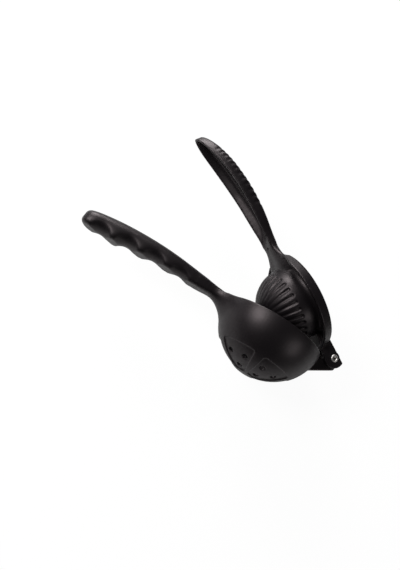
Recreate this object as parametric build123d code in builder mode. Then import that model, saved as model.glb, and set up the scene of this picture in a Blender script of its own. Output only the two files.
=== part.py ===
# Two-lever citrus press: a round bowl and a fluted dome on a pair of hinged handles.
#
# The origin is the middle of the hinge rivet. +Z runs along the rivet, -X towards the handle
# tips and +Y out of the bowl's mouth. Sizes are in mm and angles in degrees.
# The upper lever is drawn shut on the bowl, then swung open about the rivet.
from build123d import *
import math
import os

os.makedirs("parts", exist_ok=True)

# Hinge
rest_opening = 29.0  # angle between the levers as the press stands open
rivet_radius = 2.5
rivet_bore_radius = 1.5
rivet_head_radius = 3.8
rivet_head_height = 1.1
rivet_play = 0.05  # radial clearance of the rivet in its holes
hinge_width = 22.0  # across the outside of the two ears
tongue_width = 12.6
hinge_play = 0.4  # clearance between the tongue and the upper lever
tongue_radius = 8.0
tongue_corner = (6.6, -9.4)  # lower end of the block that carries the tongue
block_foot = (-18.0, -25.4)  # where the block's flat underside runs into the bowl
block_inside = 30.0  # the block reaches this far back from the rivet, into the bowl's wall
tongue_back = [(13.5, -7.5), (6.5, -4.7)]  # upper edge of the block, from the rim to the tongue
ear_radius = 9.6
ear_top = 5.3  # height of the ears' straight upper edge above the rivet
ear_root = [(17.4, 5.3), (21.0, 5.2), (28.0, 2.0)]  # top edge of an ear, down to the ring
ear_foot = [(28.0, -4.0), (14.0, -7.2), (4.0, -8.5)]  # lower edge of an ear, back to the rivet
slot_end = 9.0  # the slot for the tongue ends this far behind the rivet
slot_foot = (13.6, 7.0)  # the slot's end, further back and below the rivet

# Bowl
pin_to_bowl = 65.0
rim_drop = 7.5  # the rim lies this far below the rivet
bowl_radius = 52.5
bowl_wall = 3.4
rim_round = 0.8
neck_radius = 9.6
neck_flare = 33.0  # radius of the hollow curve from the neck into the bowl
neck_taper = 21.0  # length over which the neck's core thins out inside the handle
neck_end = 4.5

# Recessed drain panels in the bottom of the bowl
panel_count = 5
panel_turn = 48.0  # direction of the first panel's middle, from the handle
panel_depth = 1.2
panel_web = 14.0  # angle of the web left between two panels
panel_outer = 48.0  # angle from the bottom pole to the panel's outer edge
panel_inner = 10.0
panel_corner = 3.0
drain_radius = 2.7
drain_outer = 34.0  # angle from the pole to the outer pair of holes
drain_spread = 17.0  # angle of that pair from the panel's middle
drain_inner = 17.0

# Lower handle: outline points are shares of its length from the bowl's edge to its tip, with
# heights or half widths
lower_reach = 269.0
lower_top = [(0, -6.6), (0.07, -5.7), (0.215, -4.7), (0.445, -3.7), (0.65, -5.4), (0.875, -10.6)]
lower_top += [(1.15, -25.5)]
lower_bottom = [(0, -16.5), (0.15, -17.6), (0.255, -18.7), (0.41, -19.7), (0.585, -22.7), (0.765, -27.3)]
lower_bottom += [(0.92, -28.6), (1.15, -27.0)]
lower_flank = [(-0.115, 10.5), (0.15, 10.5), (0.28, 12.4), (0.48, 13.7), (0.645, 14.0), (0.86, 14.0)]
lower_nose_run = 15.0
lower_nose_half = 11.5
lower_edge = 0.44  # rounding of the handle's edges, as a share of its height at the neck
root_margin = 1.0  # edges that reach this far past a handle's root are rounded
scoops = [(0.323, -4.2), (0.5, -6.1), (0.677, -9.5), (0.854, -13.6)]  # share, height of the ring's axis
scoop_spread = 0.58  # a scoop's radius along the handle, as a share of the step between two
scoop_saddle = 14.2  # radius of the handle across the bottom of a scoop
scoop_round = 2.0

# Pressing dome, ring and skirt, measured shut
shut_gap = 0.3  # clearance between the skirt and the bowl's rim
peel_room = 12.1  # room for the squeezed half fruit between the dome and the bowl
dome_drop = 7.8  # the dome's centre lies this far below the rivet
dome_wall = 3.4
plate_top = 2.2
plate_under = -1.0
skirt_inset = 1.1  # the skirt's outside stays this far inside the bowl's
skirt_wall = 3.0
skirt_draft = 1.5  # the skirt is this much slimmer in radius at the ring's back
groove_width = 6.4
back_round = 1.6
cup_round = 1.2
flute_count = 32
flute_radius = 2.1  # radius across a flute's hollow
flute_depth = 1.4
flute_start = 13.0  # angle below the dome's widest circle where a flute begins
flute_end = 66.0
flute_lean = 2.0  # a flute's circle is centred this much nearer the dome's tip, so it runs out there

# Upper handle: outline points as on the lower one, from the ring's edge
upper_reach = 254.7
upper_back = [(-0.09, 2.2), (0.026, 3.2), (0.192, 5.3), (0.424, 6.4), (0.619, 3.7), (0.829, -2.4)]
upper_back += [(1.053, -15.5)]
upper_rim = [(-0.09, -1.0), (-0.032, -2.6), (0.033, -4.4), (0.106, -4.4), (0.243, -4.6), (0.388, -5.2)]
upper_rim += [(0.525, -6.3), (0.633, -8.2), (0.749, -11.0), (0.836, -13.9), (0.93, -17.5), (1.053, -21.5)]
upper_flank = [(-0.09, 26), (-0.017, 17), (0.033, 13.0), (0.106, 11.3), (0.243, 13.5), (0.388, 15.4)]
upper_flank += [(0.532, 17.0), (0.648, 17.0)]
upper_flare = 1.4  # slope of the handle's side where it leaves the ring
upper_nose_run = 22.0
upper_nose_half = 9.0
upper_edge = 1.25  # rounding of the back's edges, as a share of the handle's height at the ring
channel_wall = 2.6
channel_floor = 3.0
channel_root = [(0.035, -5.6), (0.09, -3.4), (0.14, -0.6)]  # floor where it rises into the handle
channel_root_half = 5.0
channel_spread = 0.5  # slope of the channel's side at its root
channel_round = 4.0
vent_radius = 1.25
vent_place = 8.1  # distance of the vent hole from the ring's edge

# Grip grooves, bent towards the tip, across the upper handle's back
groove_count = 12
groove_first = 0.33  # shares of the handle's length
groove_last = 0.8
groove_bend = 20.0
groove_sweep = 130.0  # angle of the arc that a groove follows
groove_breadth = 2.2
groove_depth = 1.1  # below the handle's back, so that a groove runs out on the rounded edge

# Web under the upper handle's root: distance out from the ring's edge, half width and height of its
# top, half width and height of its shoulder, height of its underside
web_sections = [
    (15.6, 10.6, -2.5, 8.0, -3.9, -4.1),
    (3.6, 12.8, -2.5, 9.8, -4.6, -5.0),
    (-7.4, 20.5, -1.5, 15.0, -5.7, -6.5),
    (-21.4, 28.5, -0.5, 21.5, -6.5, -9.8),
]
lip_rise_start = 33.0  # distance from the bowl's axis where the skirt begins to run out to the neck
lip_rise = 21.0  # angle at which its free edge rises there

dome_radius = bowl_radius - bowl_wall - peel_room
skirt_outer = bowl_radius - skirt_inset
skirt_inner = skirt_outer - skirt_wall
skirt_edge = shut_gap - rim_drop
groove_inner = skirt_inner - groove_width
lower_start = pin_to_bowl + bowl_radius
upper_start = pin_to_bowl + skirt_outer
bowl_centre = Vector(-pin_to_bowl, -rim_drop, 0)
bowl_axis = Axis(bowl_centre, (0, 1, 0))
handle_axis = Axis(bowl_centre, (1, 0, 0))
dome_centre = Vector(-pin_to_bowl, -dome_drop, 0)


def outward(points):
    """Distances from the rivet, as places on the handles' side of it."""
    return [(-distance, place) for distance, place in points]


def along(start, reach, points, inset=0):
    """Shares of a handle's length, as places on it, with heights or half widths drawn in by an inset."""
    return [(-start - share * (reach - start), place - inset) for share, place in points]


def opposite(point):
    """The same place on the other side of a handle's middle."""
    return (point.X, -point.Y)


def meridian(centre, turn):
    """Plane through the bowl's axis, its first axis pointing outwards at an angle from the handle."""
    east = math.cos(math.radians(turn))
    north = math.sin(math.radians(turn))
    return Plane(origin=centre, x_dir=(-east, 0, north), z_dir=(-north, 0, -east))


# ---- Drain panel: shallow sector with rounded corners, to cut from the bowl's outside ------
with BuildPart() as drain_panel:
    panel_half = 180 / panel_count - panel_web / 2
    with BuildSketch(meridian(bowl_centre, panel_turn - panel_half)):
        with BuildLine():
            panel_height = panel_outer - panel_inner
            near = CenterArc((0, 0), bowl_radius - panel_depth, panel_inner - 90, panel_height)
            far = CenterArc((0, 0), bowl_radius + panel_depth, panel_inner - 90, panel_height)
            Line(near @ 0, far @ 0)
            Line(near @ 1, far @ 1)
        make_face()
    revolve(axis=bowl_axis, revolution_arc=2 * panel_half)
    fillet(drain_panel.edges().filter_by(lambda e: e.length < 2.5 * panel_depth), panel_corner)


def drain_hole(turn, polar):
    """Plane at the bowl's centre that looks out through one hole."""
    low = math.cos(math.radians(polar))
    out = math.sin(math.radians(polar))
    east = math.cos(math.radians(turn))
    north = math.sin(math.radians(turn))
    return Plane(origin=bowl_centre, z_dir=(-out * east, -low, out * north))


# ---- Lower lever --------------------------------------------------------------------------
with BuildPart() as grip:
    with BuildSketch(Plane.XY.offset(-bowl_radius)):
        with BuildLine():
            top = Spline(along(lower_start, lower_reach, lower_top))
            bottom = Spline(along(lower_start, lower_reach, lower_bottom))
            Line(top @ 0, bottom @ 0)
            Line(top @ 1, bottom @ 1)
        make_face()
    extrude(amount=2 * bowl_radius)
    with BuildSketch(Plane.XZ.offset(-bowl_radius)):
        with BuildLine():
            flank = Spline(along(lower_start, lower_reach, lower_flank), tangents=[(-1, 0), (-1, 0)])
            run = flank @ 1 - Vector(lower_nose_run, 0)
            nose = Bezier(flank @ 1, run, (-lower_reach, lower_nose_half), (-lower_reach, 0))
            mirror(about=Plane.XZ)
            Line(flank @ 0, opposite(flank @ 0))
        make_face()
    extrude(amount=2 * bowl_radius, mode=Mode.INTERSECT)
    edge_round = lower_edge * (lower_top[0][1] - lower_bottom[0][1])
    for sign in (1, -1):
        face = [f for f in grip.faces() if sign * f.normal_at().Y > 0.5][0]
        fillet([e for e in face.edges() if e.bounding_box().min.X < -lower_start - root_margin], edge_round)
    ring_axes = along(lower_start, lower_reach, scoops)
    scoop_radius = scoop_spread * (ring_axes[0][0] - ring_axes[1][0])
    for ring_axis in ring_axes:
        with BuildSketch(Plane((*ring_axis, 0))):
            with Locations((0, -scoop_saddle - scoop_radius)):
                Circle(scoop_radius)
        revolve(axis=Axis((*ring_axis, 0), (1, 0, 0)), mode=Mode.SUBTRACT)
    hollows = grip.faces().filter_by(GeomType.TORUS).filter_by(lambda f: f.area > scoop_radius**2 / 2)
    fillet(hollows.edges(), scoop_round)

with BuildPart() as lower_lever:
    with BuildSketch(Plane.XY):
        with BuildLine():
            across = math.sqrt((bowl_radius + neck_flare) ** 2 - (neck_radius + neck_flare) ** 2)
            flare_x = -pin_to_bowl - across
            core_x = flare_x - neck_taper
            meet = bowl_radius / (bowl_radius + neck_flare)
            meet_point = Vector(-pin_to_bowl - across * meet, -rim_drop - (neck_radius + neck_flare) * meet)
            start = (-pin_to_bowl + bowl_radius, -rim_drop)
            round_bowl = ThreePointArc(start, (-pin_to_bowl, -rim_drop - bowl_radius), meet_point)
            hollow = TangentArc(meet_point, (flare_x, -rim_drop - neck_radius), tangent=round_bowl % 1)
            Polyline(hollow @ 1, (core_x, -rim_drop - neck_end), (core_x, -rim_drop), start)
        make_face()
    revolve(axis=handle_axis)
    split(bisect_by=Plane(origin=bowl_centre, x_dir=(1, 0, 0), z_dir=(0, 1, 0)), keep=Keep.BOTTOM)
    rim = lower_lever.faces().sort_by(Axis.Y)[-1]
    fillet([e for e in rim.edges() if e.bounding_box().max.X > flare_x - neck_taper / 2], rim_round)
    add(grip.part)
    with BuildSketch(Plane.XY.offset(-tongue_width / 2)):
        Circle(tongue_radius)
        with BuildLine():
            corner = Vector(*tongue_corner)
            turn = math.degrees(math.acos(tongue_radius / corner.length))
            touch = corner.rotate(Axis.Z, turn).normalized() * tongue_radius
            inside = [(-block_inside, block_foot[1]), (-block_inside, -rim_drop)]
            Polyline(touch, tongue_corner, block_foot, *inside, *outward(tongue_back), (0, 0), close=True)
        make_face()
    extrude(amount=tongue_width)
    with BuildSketch(Plane.XY.offset(-hinge_width)):
        Circle(rivet_radius + rivet_play)
    extrude(amount=2 * hinge_width, mode=Mode.SUBTRACT)
    with Locations(bowl_centre):
        Sphere(bowl_radius - bowl_wall, mode=Mode.SUBTRACT)
    for panel in range(panel_count):
        turn = panel_turn + panel * 360 / panel_count
        add(drain_panel.part.rotate(bowl_axis, turn - panel_turn), mode=Mode.SUBTRACT)
        for aside, polar in ((-drain_spread, drain_outer), (drain_spread, drain_outer), (0, drain_inner)):
            with BuildSketch(drain_hole(turn + aside, polar)):
                Circle(drain_radius)
            extrude(amount=bowl_radius + panel_depth, mode=Mode.SUBTRACT)
lower_lever.part.label = "lower_lever"
export_step(lower_lever.part, "parts/lower_lever.step")

# ---- Upper lever, drawn shut --------------------------------------------------------------
with BuildPart() as handle:
    with BuildSketch(Plane.XY.offset(-bowl_radius)):
        with BuildLine():
            top = Spline(along(upper_start, upper_reach, upper_back))
            bottom = Spline(along(upper_start, upper_reach, upper_rim))
            Line(top @ 0, bottom @ 0)
            Line(top @ 1, bottom @ 1)
        make_face()
    extrude(amount=2 * bowl_radius)
    with BuildSketch(Plane.XZ.offset(-bowl_radius)):
        with BuildLine():
            places = along(upper_start, upper_reach, upper_flank)
            flank = Spline(places, tangents=[(-1, -upper_flare), (-1, 0)])
            run = flank @ 1 - Vector(upper_nose_run, 0)
            nose = Bezier(flank @ 1, run, (-upper_reach, upper_nose_half), (-upper_reach, 0))
            mirror(about=Plane.XZ)
            Line(flank @ 0, opposite(flank @ 0))
        make_face()
    extrude(amount=2 * bowl_radius, mode=Mode.INTERSECT)
    back = [f for f in handle.faces() if f.normal_at().Y > 0.5][0]
    edge_round = upper_edge * (upper_back[0][1] - upper_rim[0][1])
    fillet([e for e in back.edges() if e.bounding_box().min.X < places[0][0] - root_margin], edge_round)

with BuildPart() as grooves:
    for number in range(groove_count):
        share = groove_first + number * (groove_last - groove_first) / (groove_count - 1)
        apex = -upper_start - share * (upper_reach - upper_start)
        with BuildSketch(Plane.XZ.offset(-bowl_radius)):
            bend = CenterArc((apex - groove_bend, 0), groove_bend, -groove_sweep / 2, groove_sweep)
            SlotArc(bend, groove_breadth)
        extrude(amount=2 * bowl_radius)
    with BuildSketch(Plane.XY.offset(-bowl_radius)):
        with BuildLine():
            top = Spline(along(upper_start, upper_reach, upper_back, -groove_depth))
            bottom = Spline(along(upper_start, upper_reach, upper_back, groove_depth))
            Line(top @ 0, bottom @ 0)
            Line(top @ 1, bottom @ 1)
        make_face()
    extrude(amount=2 * bowl_radius, mode=Mode.INTERSECT)

with BuildPart() as channel:
    with BuildSketch(Plane.XY.offset(-bowl_radius)):
        with BuildLine():
            rise = along(upper_start, upper_reach, channel_root)
            floor = Spline(rise + along(upper_start, upper_reach, upper_back[2:], channel_floor))
            deep = -bowl_radius
            Polyline(floor @ 1, ((floor @ 1).X, deep), ((floor @ 0).X, deep), floor @ 0)
        make_face()
    extrude(amount=2 * bowl_radius)
    with BuildSketch(Plane.XZ.offset(-bowl_radius)):
        with BuildLine():
            root = [(rise[0][0], channel_root_half)]
            inner = along(upper_start, upper_reach, upper_flank[3:], channel_wall)
            flank = Spline(root + inner, tangents=[(-1, channel_spread), (-1, 0)])
            run = flank @ 1 - Vector(upper_nose_run, 0)
            tip = -upper_reach + channel_wall
            nose = Bezier(flank @ 1, run, (tip, upper_nose_half - channel_wall / 2), (tip, 0))
            mirror(about=Plane.XZ)
            Line(flank @ 0, opposite(flank @ 0))
        make_face()
    extrude(amount=2 * bowl_radius, mode=Mode.INTERSECT)
    under = [f for f in channel.faces() if f.normal_at().Y > 0.5][0]
    fillet([e for e in under.edges() if e.bounding_box().min.X < rise[0][0] - root_margin], channel_round)

with BuildPart() as cup:
    with BuildSketch(Plane.XY):
        with BuildLine():
            x = -pin_to_bowl
            cup_radius = dome_radius - dome_wall
            round_end = CenterArc((x, -dome_drop), cup_radius, -90, 90)
            open_end = plate_top + cup_radius
            Polyline(round_end @ 1, (x + cup_radius, open_end), (x, open_end), round_end @ 0)
        make_face()
    revolve(axis=bowl_axis)

with BuildPart() as web:
    for distance, half, height, shoulder, low, lowest in web_sections:
        with BuildSketch(Plane((-upper_start - distance, 0, 0), x_dir=(0, 0, 1), z_dir=(-1, 0, 0))):
            with BuildLine():
                near_side = [(half, height), (shoulder, low)]
                far_side = [(-shoulder, low), (-half, height)]
                under = Spline(near_side + [(0, lowest)] + far_side)
                Polyline(under @ 1, (-half, 0), (half, 0), under @ 0)
            make_face()
    loft()

with BuildPart() as lip_cut:
    with BuildSketch(Plane.XY.offset(-bowl_radius)):
        with Locations((-pin_to_bowl - lip_rise_start, skirt_edge)):
            run = bowl_radius - lip_rise_start
            rise = run * math.tan(math.radians(lip_rise))
            Polygon((0, 0), (-run, rise), (-run, -run), (0, -run), align=None)
    extrude(amount=2 * bowl_radius)
    with BuildSketch(Plane(origin=(-pin_to_bowl, -bowl_radius, 0), z_dir=(0, 1, 0))):
        Circle(groove_inner)
    extrude(amount=2 * bowl_radius, mode=Mode.SUBTRACT)

with BuildPart() as flute:
    path_centre = dome_centre - Vector(0, flute_lean, 0)
    path_radius = dome_radius + flute_radius - flute_depth
    path_radius -= flute_lean * math.sin(math.radians(flute_start))
    outwards = Vector(-1, 0).rotate(Axis.Z, flute_start)
    flute_foot = path_centre + outwards * path_radius
    with BuildSketch(Plane(origin=flute_foot, x_dir=outwards, z_dir=outwards.rotate(Axis.Z, 90))):
        Circle(flute_radius)
    revolve(axis=Axis(path_centre, (0, 0, 1)), revolution_arc=flute_end - flute_start)
    with Locations(flute_foot):
        Sphere(flute_radius)

with BuildPart() as hinge_slot:
    with BuildSketch(Plane.XY.offset(-tongue_width / 2 - hinge_play)):
        Circle(tongue_radius + hinge_play)
        mouth = [(hinge_width, -hinge_width), (hinge_width, hinge_width), (-slot_end, hinge_width)]
        foot = [(-slot_end, 0), (-slot_foot[0], -slot_foot[1]), (-slot_foot[0], -hinge_width)]
        Polygon(*mouth, *foot, align=None)
    extrude(amount=tongue_width + 2 * hinge_play)

with BuildPart() as upper_shut:
    with BuildSketch(Plane.XY):
        with BuildLine():
            round_end = CenterArc((x, -dome_drop), dome_radius, -90, 90)
            cove_foot = (x + groove_inner, plate_under)
            Spline(round_end @ 1, cove_foot, tangents=[(0, 1), (1, 0)])
            Polyline(
                cove_foot,
                (x + skirt_inner, plate_under),
                (x + skirt_inner, skirt_edge),
                (x + skirt_outer, skirt_edge),
                (x + skirt_outer - skirt_draft, plate_top),
                (x, plate_top),
                round_end @ 0,
            )
        make_face()
    revolve(axis=bowl_axis)
    outer_edge = upper_shut.edges().filter_by(GeomType.CIRCLE).sort_by(Axis.Y)[-1]
    fillet(outer_edge, back_round)
    with BuildSketch(Plane.XY.offset(-hinge_width / 2)):
        Circle(ear_radius)
        Polygon((0, ear_top), *outward(ear_root), *outward(ear_foot), (0, 0), align=None)
        with Locations((0, ear_top)):
            Rectangle(2 * ear_radius, ear_radius, align=(Align.MIN, Align.MIN), mode=Mode.SUBTRACT)
            Rectangle(2 * ear_radius, ear_radius, align=(Align.MAX, Align.MIN), mode=Mode.SUBTRACT)
    extrude(amount=hinge_width)
    add(lip_cut.part, mode=Mode.SUBTRACT)
    add(handle.part)
    add(grooves.part, mode=Mode.SUBTRACT)
    add(web.part)
    add(channel.part, mode=Mode.SUBTRACT)
    add(cup.part, mode=Mode.SUBTRACT)
    circles = upper_shut.edges().filter_by(GeomType.CIRCLE)
    mouth = circles.filter_by(lambda e: abs(e.radius - cup_radius) < cup_round).sort_by(Axis.Y)[-1]
    fillet(mouth, cup_round)
    add(hinge_slot.part, mode=Mode.SUBTRACT)
    for number in range(flute_count):
        add(flute.part.rotate(bowl_axis, number * 360 / flute_count), mode=Mode.SUBTRACT)
    with BuildSketch(Plane.XY.offset(-hinge_width)):
        Circle(rivet_radius + rivet_play)
    extrude(amount=2 * hinge_width, mode=Mode.SUBTRACT)
    with BuildSketch(Plane(origin=(-upper_start - vent_place, -bowl_radius, 0), z_dir=(0, 1, 0))):
        Circle(vent_radius)
    extrude(amount=2 * bowl_radius, mode=Mode.SUBTRACT)

with BuildPart() as upper_lever:
    add(upper_shut.part, rotation=(0, 0, -rest_opening))
upper_lever.part.label = "upper_lever"
export_step(upper_lever.part, "parts/upper_lever.step")

# ---- Hinge rivet --------------------------------------------------------------------------
with BuildPart() as hinge_rivet:
    half = hinge_width / 2 + rivet_head_height
    with BuildSketch(Plane.XY.offset(-half)):
        Circle(rivet_radius)
    extrude(amount=2 * half)
    for place in (-half, hinge_width / 2):
        with BuildSketch(Plane.XY.offset(place)):
            Circle(rivet_head_radius)
        extrude(amount=rivet_head_height)
    with BuildSketch(Plane.XY.offset(-half)):
        Circle(rivet_bore_radius)
    extrude(amount=2 * half, mode=Mode.SUBTRACT)
hinge_rivet.part.label = "hinge_rivet"
export_step(hinge_rivet.part, "parts/hinge_rivet.step")
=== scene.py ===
import math
import bmesh
import bpy
import numpy as np
from mathutils import Matrix, Quaternion, Vector


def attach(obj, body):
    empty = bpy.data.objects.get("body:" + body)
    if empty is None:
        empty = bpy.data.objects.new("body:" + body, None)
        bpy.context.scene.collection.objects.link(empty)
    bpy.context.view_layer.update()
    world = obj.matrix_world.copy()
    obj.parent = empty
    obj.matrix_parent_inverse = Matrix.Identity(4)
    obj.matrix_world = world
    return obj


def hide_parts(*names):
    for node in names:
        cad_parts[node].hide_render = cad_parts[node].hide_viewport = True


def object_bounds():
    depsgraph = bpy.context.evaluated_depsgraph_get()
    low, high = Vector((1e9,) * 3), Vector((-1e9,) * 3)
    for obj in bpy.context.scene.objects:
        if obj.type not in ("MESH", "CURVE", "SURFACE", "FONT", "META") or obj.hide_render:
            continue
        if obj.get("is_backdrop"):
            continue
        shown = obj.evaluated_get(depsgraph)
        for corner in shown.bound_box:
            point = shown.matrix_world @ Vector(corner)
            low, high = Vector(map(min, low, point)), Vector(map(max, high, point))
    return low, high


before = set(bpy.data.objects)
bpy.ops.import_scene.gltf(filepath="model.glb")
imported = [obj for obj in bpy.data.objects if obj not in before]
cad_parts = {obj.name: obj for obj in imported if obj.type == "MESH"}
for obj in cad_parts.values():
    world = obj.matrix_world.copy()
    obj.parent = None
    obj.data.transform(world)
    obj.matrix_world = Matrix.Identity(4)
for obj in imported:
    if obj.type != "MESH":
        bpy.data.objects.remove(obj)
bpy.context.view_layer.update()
millimetre = 0.001
scene = bpy.context.scene


def linearColour(hexCode):
    channels = [int(hexCode[start:start + 2], 16) / 255 for start in (1, 3, 5)]
    bright = [((value + 0.055) / 1.055) ** 2.4 if value > 0.04045 else value / 12.92 for value in channels]
    return (*bright, 1.0)


def addNode(tree, kind, settings=None, links=None):
    node = tree.nodes.new(kind)
    for name, value in (settings or {}).items():
        if name in node.inputs:
            node.inputs[name].default_value = value
        else:
            setattr(node, name, value)
    for name, source in (links or {}).items():
        tree.links.new(source, node.inputs[name])
    return node


def startMaterial(title):
    material = bpy.data.materials.new(title)
    material.use_nodes = True
    material.node_tree.nodes.clear()
    return material, material.node_tree


# powder-coated cast aluminium: a fine soft grain that scatters each highlight into a broad satin glow
coating = {
    "colour": "#131013",
    "highlight": "#fff1f3",  # the coat's pigment warms its highlights a little
    "roughness": 0.4,
    "roughnessSpread": (-0.03, 0.05),  # thinner and thicker coat
    "grainSize": 0.9,  # mm, coarser than the real 0.2 mm grain so that it still shows
    "grainHeight": 0.02,  # mm
    "grainStrength": 0.35,
    "castWave": 9.0,  # mm, the slow unevenness that the casting keeps under its coat
}


def powderCoatedCasting():
    material, tree = startMaterial("powder-coated cast aluminium")
    place = addNode(tree, "ShaderNodeTexCoord")
    grain = addNode(tree, "ShaderNodeTexNoise",
                    {"Scale": 1 / (coating["grainSize"] * millimetre), "Detail": 3.0, "Roughness": 0.6},
                    {"Vector": place.outputs["Object"]})
    thin, thick = (coating["roughness"] + spread for spread in coating["roughnessSpread"])
    wave = addNode(tree, "ShaderNodeTexNoise",
                   {"Scale": 1 / (coating["castWave"] * millimetre), "Detail": 1.0},
                   {"Vector": place.outputs["Object"]})
    sheen = addNode(tree, "ShaderNodeMapRange", {"To Min": thin, "To Max": thick},
                    {"Value": wave.outputs["Fac"]})
    bump = addNode(tree, "ShaderNodeBump",
                   {"Strength": coating["grainStrength"], "Distance": coating["grainHeight"] * millimetre},
                   {"Height": grain.outputs["Fac"]})
    surface = addNode(tree, "ShaderNodeBsdfPrincipled",
                      {"Base Color": linearColour(coating["colour"]), "IOR": 1.5, "Metallic": 0.0,
                       "Specular Tint": linearColour(coating["highlight"])},
                      {"Roughness": sheen.outputs["Result"], "Normal": bump.outputs["Normal"]})
    addNode(tree, "ShaderNodeOutputMaterial", None, {"Surface": surface.outputs["BSDF"]})
    return material


# rolled steel: a bright ring with a broad shine, dulled by the riveting tool
rivetSteel = {"colour": "#e2deda", "roughness": 0.4}


def rolledSteel():
    material, tree = startMaterial("bright rolled steel")
    surface = addNode(tree, "ShaderNodeBsdfPrincipled",
                      {"Base Color": linearColour(rivetSteel["colour"]), "Metallic": 1.0,
                       "Roughness": rivetSteel["roughness"]})
    addNode(tree, "ShaderNodeOutputMaterial", None, {"Surface": surface.outputs["BSDF"]})
    return material


def newPiece(mesh, title, material, bodyName, nodeName):
    piece = bpy.data.objects.new(title, mesh)
    scene.collection.objects.link(piece)
    mesh.materials.clear()
    mesh.materials.append(material)
    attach(piece, bodyName)
    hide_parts(nodeName)
    return piece


def meshFrom(shape, title):
    mesh = bpy.data.meshes.new(title)
    shape.to_mesh(mesh)
    shape.free()
    return mesh


# every casting edge is softened by the sand mould and the coat over it
casting = {
    "merge": 0.002,  # mm, corners closer than this are one
    "voxel": 0.5,  # mm
    "moulding": 4,  # light passes over the whole skin
    "kept": 0.33,  # share of the skin's triangles that stays
    "softening": 2,  # light passes over what is left
    "light": 0.5, "full": 0.9,  # how far a pass moves a corner towards its neighbours
    "blendZones": (1.0, 0.85, 0.7),  # a blend is smoothed in shrinking zones, so it has no edge
}

# where one form runs into another: middle and reach along each axis (mm, both sides alike), full passes
blends = {
    "lower": [((-128.0, -12.0, 0.0), (18.0, 14.0, 17.0), 100)],
    "upper": [
        ((-101.0, 57.0, 12.0), (13.0, 10.0, 19.0), 90),
        ((-84.0, 46.5, 22.0), (9.0, 8.0, 9.0), 50),
        ((-99.0, 38.5, 0.0), (6.0, 5.0, 16.0), 50),
    ],
}

# the lower grip is crowned, so its flat side turns away towards the top edge
grip = {
    "along": [-262.0, -250.0, -216.0, -185.0, -150.0, -125.0],  # mm
    "top": [-12.5, -10.6, -5.4, -3.7, -4.7, -6.0],
    "middle": [-20.5, -19.5, -15.5, -13.0, -11.8, -11.5],
    "crown": [0.26, 0.26, 0.26, 0.26, 0.2, 0.0],  # share of the half width that the top edge loses
}

# the handles' flat sides, from this place outwards (mm): full passes across the thickness alone, so
# the outline keeps its waves
flatSides = {"lower": (-150.0, 66), "upper": (-118.0, 10)}

# the upper handle, measured with the press shut: shares of its length, then heights and half widths in mm
trough = {
    "open": 29.0,  # degrees
    "root": 116.4, "tip": 254.7,
    "share": [0.1, 0.243, 0.388, 0.525, 0.633, 0.749, 0.836, 0.93, 1.0],
    "back": [4.3, 5.6, 6.3, 5.3, 3.4, 0.7, -2.7, -7.4, -11.8],
    "rim": [-4.4, -4.6, -5.2, -6.3, -8.2, -11.0, -13.9, -17.5, -20.0],
    "inside": [8.7, 10.9, 12.8, 14.4, 14.4, 13.5, 11.3, 7.0, 2.0],
    "draft": 24.0,  # degrees that the channel's sides lean apart, so that the casting leaves its mould
    "drafted": (0.1, 0.97),  # shares of the length between which they lean
    "backWall": 1.5, "sideWall": 1.3,  # mm of metal past the channel's faces that stays out of it
    "narrowest": 0.5,  # share of its width that the channel always keeps
}

# arched grooves that run over the back's rounded edges
grooves = {
    "count": 12, "first": 0.33, "last": 0.8,
    "bend": 20.0, "halfWidth": 1.5, "depth": 1.1,  # mm
    "reach": [0.2, 1.4, 4.6, 7.5],  # mm below the back: starts, full, full, gone
    "sideFrom": -1.0,  # mm from the channel's side outwards
}


def crownGrip(places):
    along, height = places[:, 0], places[:, 1]
    top = np.interp(along, grip["along"], grip["top"])
    middle = np.interp(along, grip["along"], grip["middle"])
    above = np.clip((height - middle) / (top - middle), 0, 1)
    places[:, 2] *= 1 - np.interp(along, grip["along"], grip["crown"]) * above ** 2


def cutTrough(places, normals):
    turn = math.radians(trough["open"])
    along = places[:, 0] * math.cos(turn) - places[:, 1] * math.sin(turn)
    height = places[:, 0] * math.sin(turn) + places[:, 1] * math.cos(turn)
    across = places[:, 2].copy()
    length = trough["tip"] - trough["root"]
    share = (-along - trough["root"]) / length
    back, rim, inside = (np.interp(share, trough["share"], trough[line])
                         for line in ("back", "rim", "inside"))
    draftFrom, draftTo = trough["drafted"]
    within = (share > draftFrom) & (share < draftTo) & (height < back - trough["backWall"])
    within &= np.abs(across) < inside + trough["sideWall"]
    depth = np.clip(height - rim, 0, None)
    lean = 1 - math.tan(math.radians(trough["draft"])) * depth / inside
    places[:, 2] = np.where(within, across * np.clip(lean, trough["narrowest"], 1), across)
    outer = (np.abs(across) > inside + grooves["sideFrom"]) & (normals[:, 2] * across > 0) & (share > 0)
    places -= normals * (grooveDepth(along, across, back - height, length) * outer)[:, None]


def grooveDepth(along, across, belowBack, length):
    step = (grooves["last"] - grooves["first"]) * length / (grooves["count"] - 1)
    first = -trough["root"] - grooves["first"] * length
    arc = along + grooves["bend"] - np.sqrt(np.clip(grooves["bend"] ** 2 - across ** 2, 0, None))
    number = np.clip(np.round((first - arc) / step), 0, grooves["count"] - 1)
    beside = np.abs(first - arc - number * step) / grooves["halfWidth"]
    hollow = np.where(beside < 1, np.cos(beside * math.pi / 2) ** 2, 0)
    return hollow * np.interp(belowBack, grooves["reach"], [0, 1, 1, 0]) * grooves["depth"]


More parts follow.
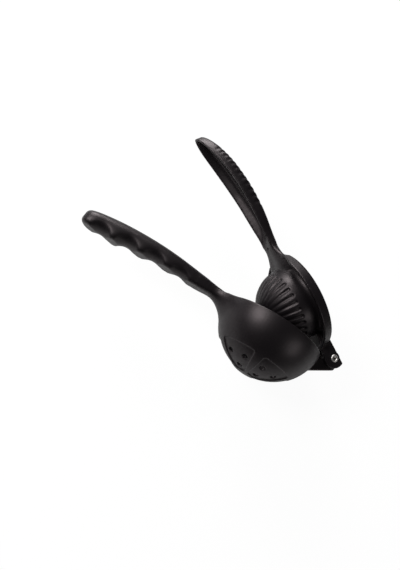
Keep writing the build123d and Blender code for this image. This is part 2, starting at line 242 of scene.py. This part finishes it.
def evenSkin(nodeName, title, bodyName, material):
    shape = bmesh.new()
    shape.from_mesh(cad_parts[nodeName].data)
    bmesh.ops.remove_doubles(shape, verts=shape.verts, dist=casting["merge"] * millimetre)
    piece = newPiece(meshFrom(shape, title), title, material, bodyName, nodeName)
    skin = piece.modifiers.new("even skin", "REMESH")
    skin.mode = "VOXEL"
    skin.voxel_size = casting["voxel"] * millimetre
    skin.use_smooth_shade = True
    piece.data = bpy.data.meshes.new_from_object(piece.evaluated_get(bpy.context.evaluated_depsgraph_get()))
    piece.modifiers.clear()
    return piece


def reshape(mesh, bodyName):
    places = np.empty(len(mesh.vertices) * 3, np.float32)
    normals = np.empty_like(places)
    mesh.vertices.foreach_get("co", places)
    mesh.vertices.foreach_get("normal", normals)
    places = places.reshape(-1, 3) / millimetre
    if bodyName == "lower":
        crownGrip(places)
    else:
        cutTrough(places, normals.reshape(-1, 3))
    mesh.vertices.foreach_set("co", (places * millimetre).ravel())
    return places


def smoothen(shape, corners, passes, factor, thicknessOnly=False):
    zone = [shape.verts[index] for index in corners]
    for turn in range(passes):
        bmesh.ops.smooth_vert(shape, verts=zone, factor=factor, use_axis_x=not thicknessOnly,
                              use_axis_y=not thicknessOnly, use_axis_z=True)


def softCasting(nodeName, title, bodyName, material):
    piece = evenSkin(nodeName, title, bodyName, material)
    places = reshape(piece.data, bodyName)
    shape = bmesh.new()
    shape.from_mesh(piece.data)
    shape.verts.ensure_lookup_table()
    smoothen(shape, range(len(places)), casting["moulding"], casting["light"])
    oneSide = np.column_stack((places[:, :2], np.abs(places[:, 2])))
    for middle, reach, passes in blends[bodyName]:
        away = np.sqrt((((oneSide - middle) / reach) ** 2).sum(axis=1))
        zonePasses = passes // len(casting["blendZones"])
        for limit in casting["blendZones"]:
            smoothen(shape, np.flatnonzero(away < limit), zonePasses, casting["full"])
    flatFrom, passes = flatSides[bodyName]
    smoothen(shape, np.flatnonzero(places[:, 0] < flatFrom), passes, casting["full"], thicknessOnly=True)
    shape.to_mesh(piece.data)
    shape.free()
    fewer = piece.modifiers.new("fewer flat faces", "DECIMATE")
    fewer.ratio = casting["kept"]
    soften = piece.modifiers.new("soft cast edges", "SMOOTH")
    soften.factor = casting["light"]
    soften.iterations = casting["softening"]
    built = piece.evaluated_get(bpy.context.evaluated_depsgraph_get()).to_mesh()
    print("casting", title, sum(len(face.vertices) - 2 for face in built.polygons), "triangles")


powderCoat = powderCoatedCasting()
softCasting("lower_lever", "bowlAndLowerHandle", "lower", powderCoat)
softCasting("upper_lever", "domeAndUpperHandle", "upper", powderCoat)

# hollow rivet with its ends rolled over the ears
rivet = {
    "shank": 2.5, "bore": 1.5, "head": 3.8, "headHeight": 1.1, "earWidth": 22.0,  # mm
    "segments": 64, "rollStep": 15,  # degrees between the points of a rolled end
    "merge": 0.005,  # mm
}


def rolledRivet():
    halfWidth = rivet["earWidth"] / 2
    rollMiddle = (rivet["bore"] + rivet["head"]) / 2
    rollWidth = (rivet["head"] - rivet["bore"]) / 2
    shape = bmesh.new()
    angles = [math.radians(angle) for angle in range(0, 181, rivet["rollStep"])]
    lowRoll = [(rollMiddle + rollWidth * math.cos(angle), -halfWidth - rivet["headHeight"] * math.sin(angle))
               for angle in angles]
    highRoll = [(radius, -height) for radius, height in reversed(lowRoll)]
    profile = [(rivet["shank"], halfWidth), (rivet["shank"], -halfWidth), *lowRoll, *highRoll]
    corners = [shape.verts.new((radius * millimetre, 0, height * millimetre)) for radius, height in profile]
    edges = [shape.edges.new(pair) for pair in zip(corners, [*corners[1:], corners[0]])]
    bmesh.ops.spin(shape, geom=corners + edges, axis=(0, 0, 1), cent=(0, 0, 0), angle=2 * math.pi,
                   steps=rivet["segments"], use_merge=True)
    bmesh.ops.remove_doubles(shape, verts=shape.verts, dist=rivet["merge"] * millimetre)
    bmesh.ops.recalc_face_normals(shape, faces=shape.faces)
    mesh = meshFrom(shape, "rolledRivet")
    mesh.shade_smooth()
    newPiece(mesh, "rolledRivet", rolledSteel(), "upper", "hinge_rivet")
    print("rivet", len(mesh.polygons), "faces")


rolledRivet()

# pale floor that reads as white paper behind the press
studio = {
    "floorColour": "#f2f2f2",
    "floorSize": 6.0,  # metres
    "whiteness": 1.06,  # of the plain white that the camera sees
    "worldStrength": 0.03,
    "shadowShare": 0.1,  # how much of the floor's real shading the camera sees, the rest is plain white
    "floorGloss": 0.16,  # how much of the white floor reflections show
    "skyGloss": 0.02,  # and how much of the white sky, dim because black cards stand round the set
}


def seenShare(tree, glossShare):
    paths = addNode(tree, "ShaderNodeLightPath")
    through = addNode(tree, "ShaderNodeMath", {"operation": "MAXIMUM"})
    tree.links.new(paths.outputs["Is Camera Ray"], through.inputs[0])
    tree.links.new(paths.outputs["Is Transmission Ray"], through.inputs[1])
    mirrored = addNode(tree, "ShaderNodeMath", {"operation": "MULTIPLY"})
    tree.links.new(paths.outputs["Is Glossy Ray"], mirrored.inputs[0])
    mirrored.inputs[1].default_value = glossShare
    both = addNode(tree, "ShaderNodeMath", {"operation": "MAXIMUM"})
    tree.links.new(through.outputs["Value"], both.inputs[0])
    tree.links.new(mirrored.outputs["Value"], both.inputs[1])
    return both.outputs["Value"]


def paleFloor():
    shape = bmesh.new()
    bmesh.ops.create_grid(shape, x_segments=1, y_segments=1, size=studio["floorSize"] / 2)
    bmesh.ops.translate(shape, verts=shape.verts, vec=(0, 0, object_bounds()[0].z))
    mesh = meshFrom(shape, "paleFloor")
    material, tree = startMaterial("white studio paper")
    paper = addNode(tree, "ShaderNodeBsdfDiffuse", {"Color": linearColour(studio["floorColour"])})
    white = addNode(tree, "ShaderNodeEmission", {"Color": (1, 1, 1, 1), "Strength": studio["whiteness"]})
    seen = addNode(tree, "ShaderNodeMath", {"operation": "MULTIPLY"})
    tree.links.new(seenShare(tree, studio["floorGloss"]), seen.inputs[0])
    seen.inputs[1].default_value = 1 - studio["shadowShare"]
    both = addNode(tree, "ShaderNodeMixShader", None, {"Fac": seen.outputs["Value"]})
    tree.links.new(paper.outputs["BSDF"], both.inputs[1])
    tree.links.new(white.outputs["Emission"], both.inputs[2])
    addNode(tree, "ShaderNodeOutputMaterial", None, {"Surface": both.outputs["Shader"]})
    mesh.materials.append(material)
    floor = bpy.data.objects.new("paleFloor", mesh)
    scene.collection.objects.link(floor)
    floor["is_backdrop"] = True


def softSky():
    world = bpy.data.worlds.new("soft studio")
    world.use_nodes = True
    tree = world.node_tree
    tree.nodes.clear()
    level = addNode(tree, "ShaderNodeMapRange", {"To Min": studio["worldStrength"], "To Max": 1.0},
                    {"Value": seenShare(tree, studio["skyGloss"])})
    around = addNode(tree, "ShaderNodeBackground", {"Color": (1, 1, 1, 1)},
                     {"Strength": level.outputs["Result"]})
    addNode(tree, "ShaderNodeOutputWorld", None, {"Surface": around.outputs["Background"]})
    scene.world = world


# lamps: places and sizes in metres, power in watts
lampAim = (-0.1, 0.0, 0.0)
lamps = {
    "key": {"place": (-1.27, -0.03, 1.09), "size": 0.7, "power": 12.0},
    "fill": {"place": (1.12, -0.45, 0.93), "size": 0.6, "power": 2.5},
    "back": {"place": (-1.16, 1.09, 0.51), "size": 0.8, "power": 17.0},
}


def placeLamp(title, settings):
    light = bpy.data.lights.new(title, "AREA")
    light.shape = "DISK"
    light.size = settings["size"]
    light.energy = settings["power"]
    lamp = bpy.data.objects.new(title, light)
    scene.collection.objects.link(lamp)
    place = Vector(settings["place"])
    aim = Vector(lampAim) - place
    lamp.matrix_world = Matrix.Translation(place) @ aim.to_track_quat("-Z", "Y").to_matrix().to_4x4()
    lamp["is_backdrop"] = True


paleFloor()
softSky()
for lampName, lampSettings in lamps.items():
    placeLamp(lampName, lampSettings)

# camera: nearly above the middle of the press, turned so that the handles point up and left
camera = {
    "place": (-0.1420, -0.1117, 0.4097),
    "aim": (-0.1059, -0.0106, 0.0),
    "roll": 53.76,  # degrees
    "focalPixels": 441.6,
    "imageSize": (400, 570),
    "aimPixel": (236.0, 306.6),
}


def placeCamera():
    view = bpy.data.cameras.new("camera")
    longSide = max(camera["imageSize"])
    view.sensor_width = 36.0
    view.lens = view.sensor_width * camera["focalPixels"] / longSide
    view.shift_x = (camera["imageSize"][0] / 2 - camera["aimPixel"][0]) / longSide
    view.shift_y = (camera["aimPixel"][1] - camera["imageSize"][1] / 2) / longSide
    view.clip_start = 0.01
    seat = bpy.data.objects.new("camera", view)
    scene.collection.objects.link(seat)
    place = Vector(camera["place"])
    aim = Vector(camera["aim"]) - place
    turn = aim.to_track_quat("-Z", "Y") @ Quaternion((0, 0, 1), math.radians(camera["roll"]))
    seat.matrix_world = Matrix.Translation(place) @ turn.to_matrix().to_4x4()
    scene.camera = seat


placeCamera()
scene.view_settings.view_transform = "Standard"
print("camera and light placed")
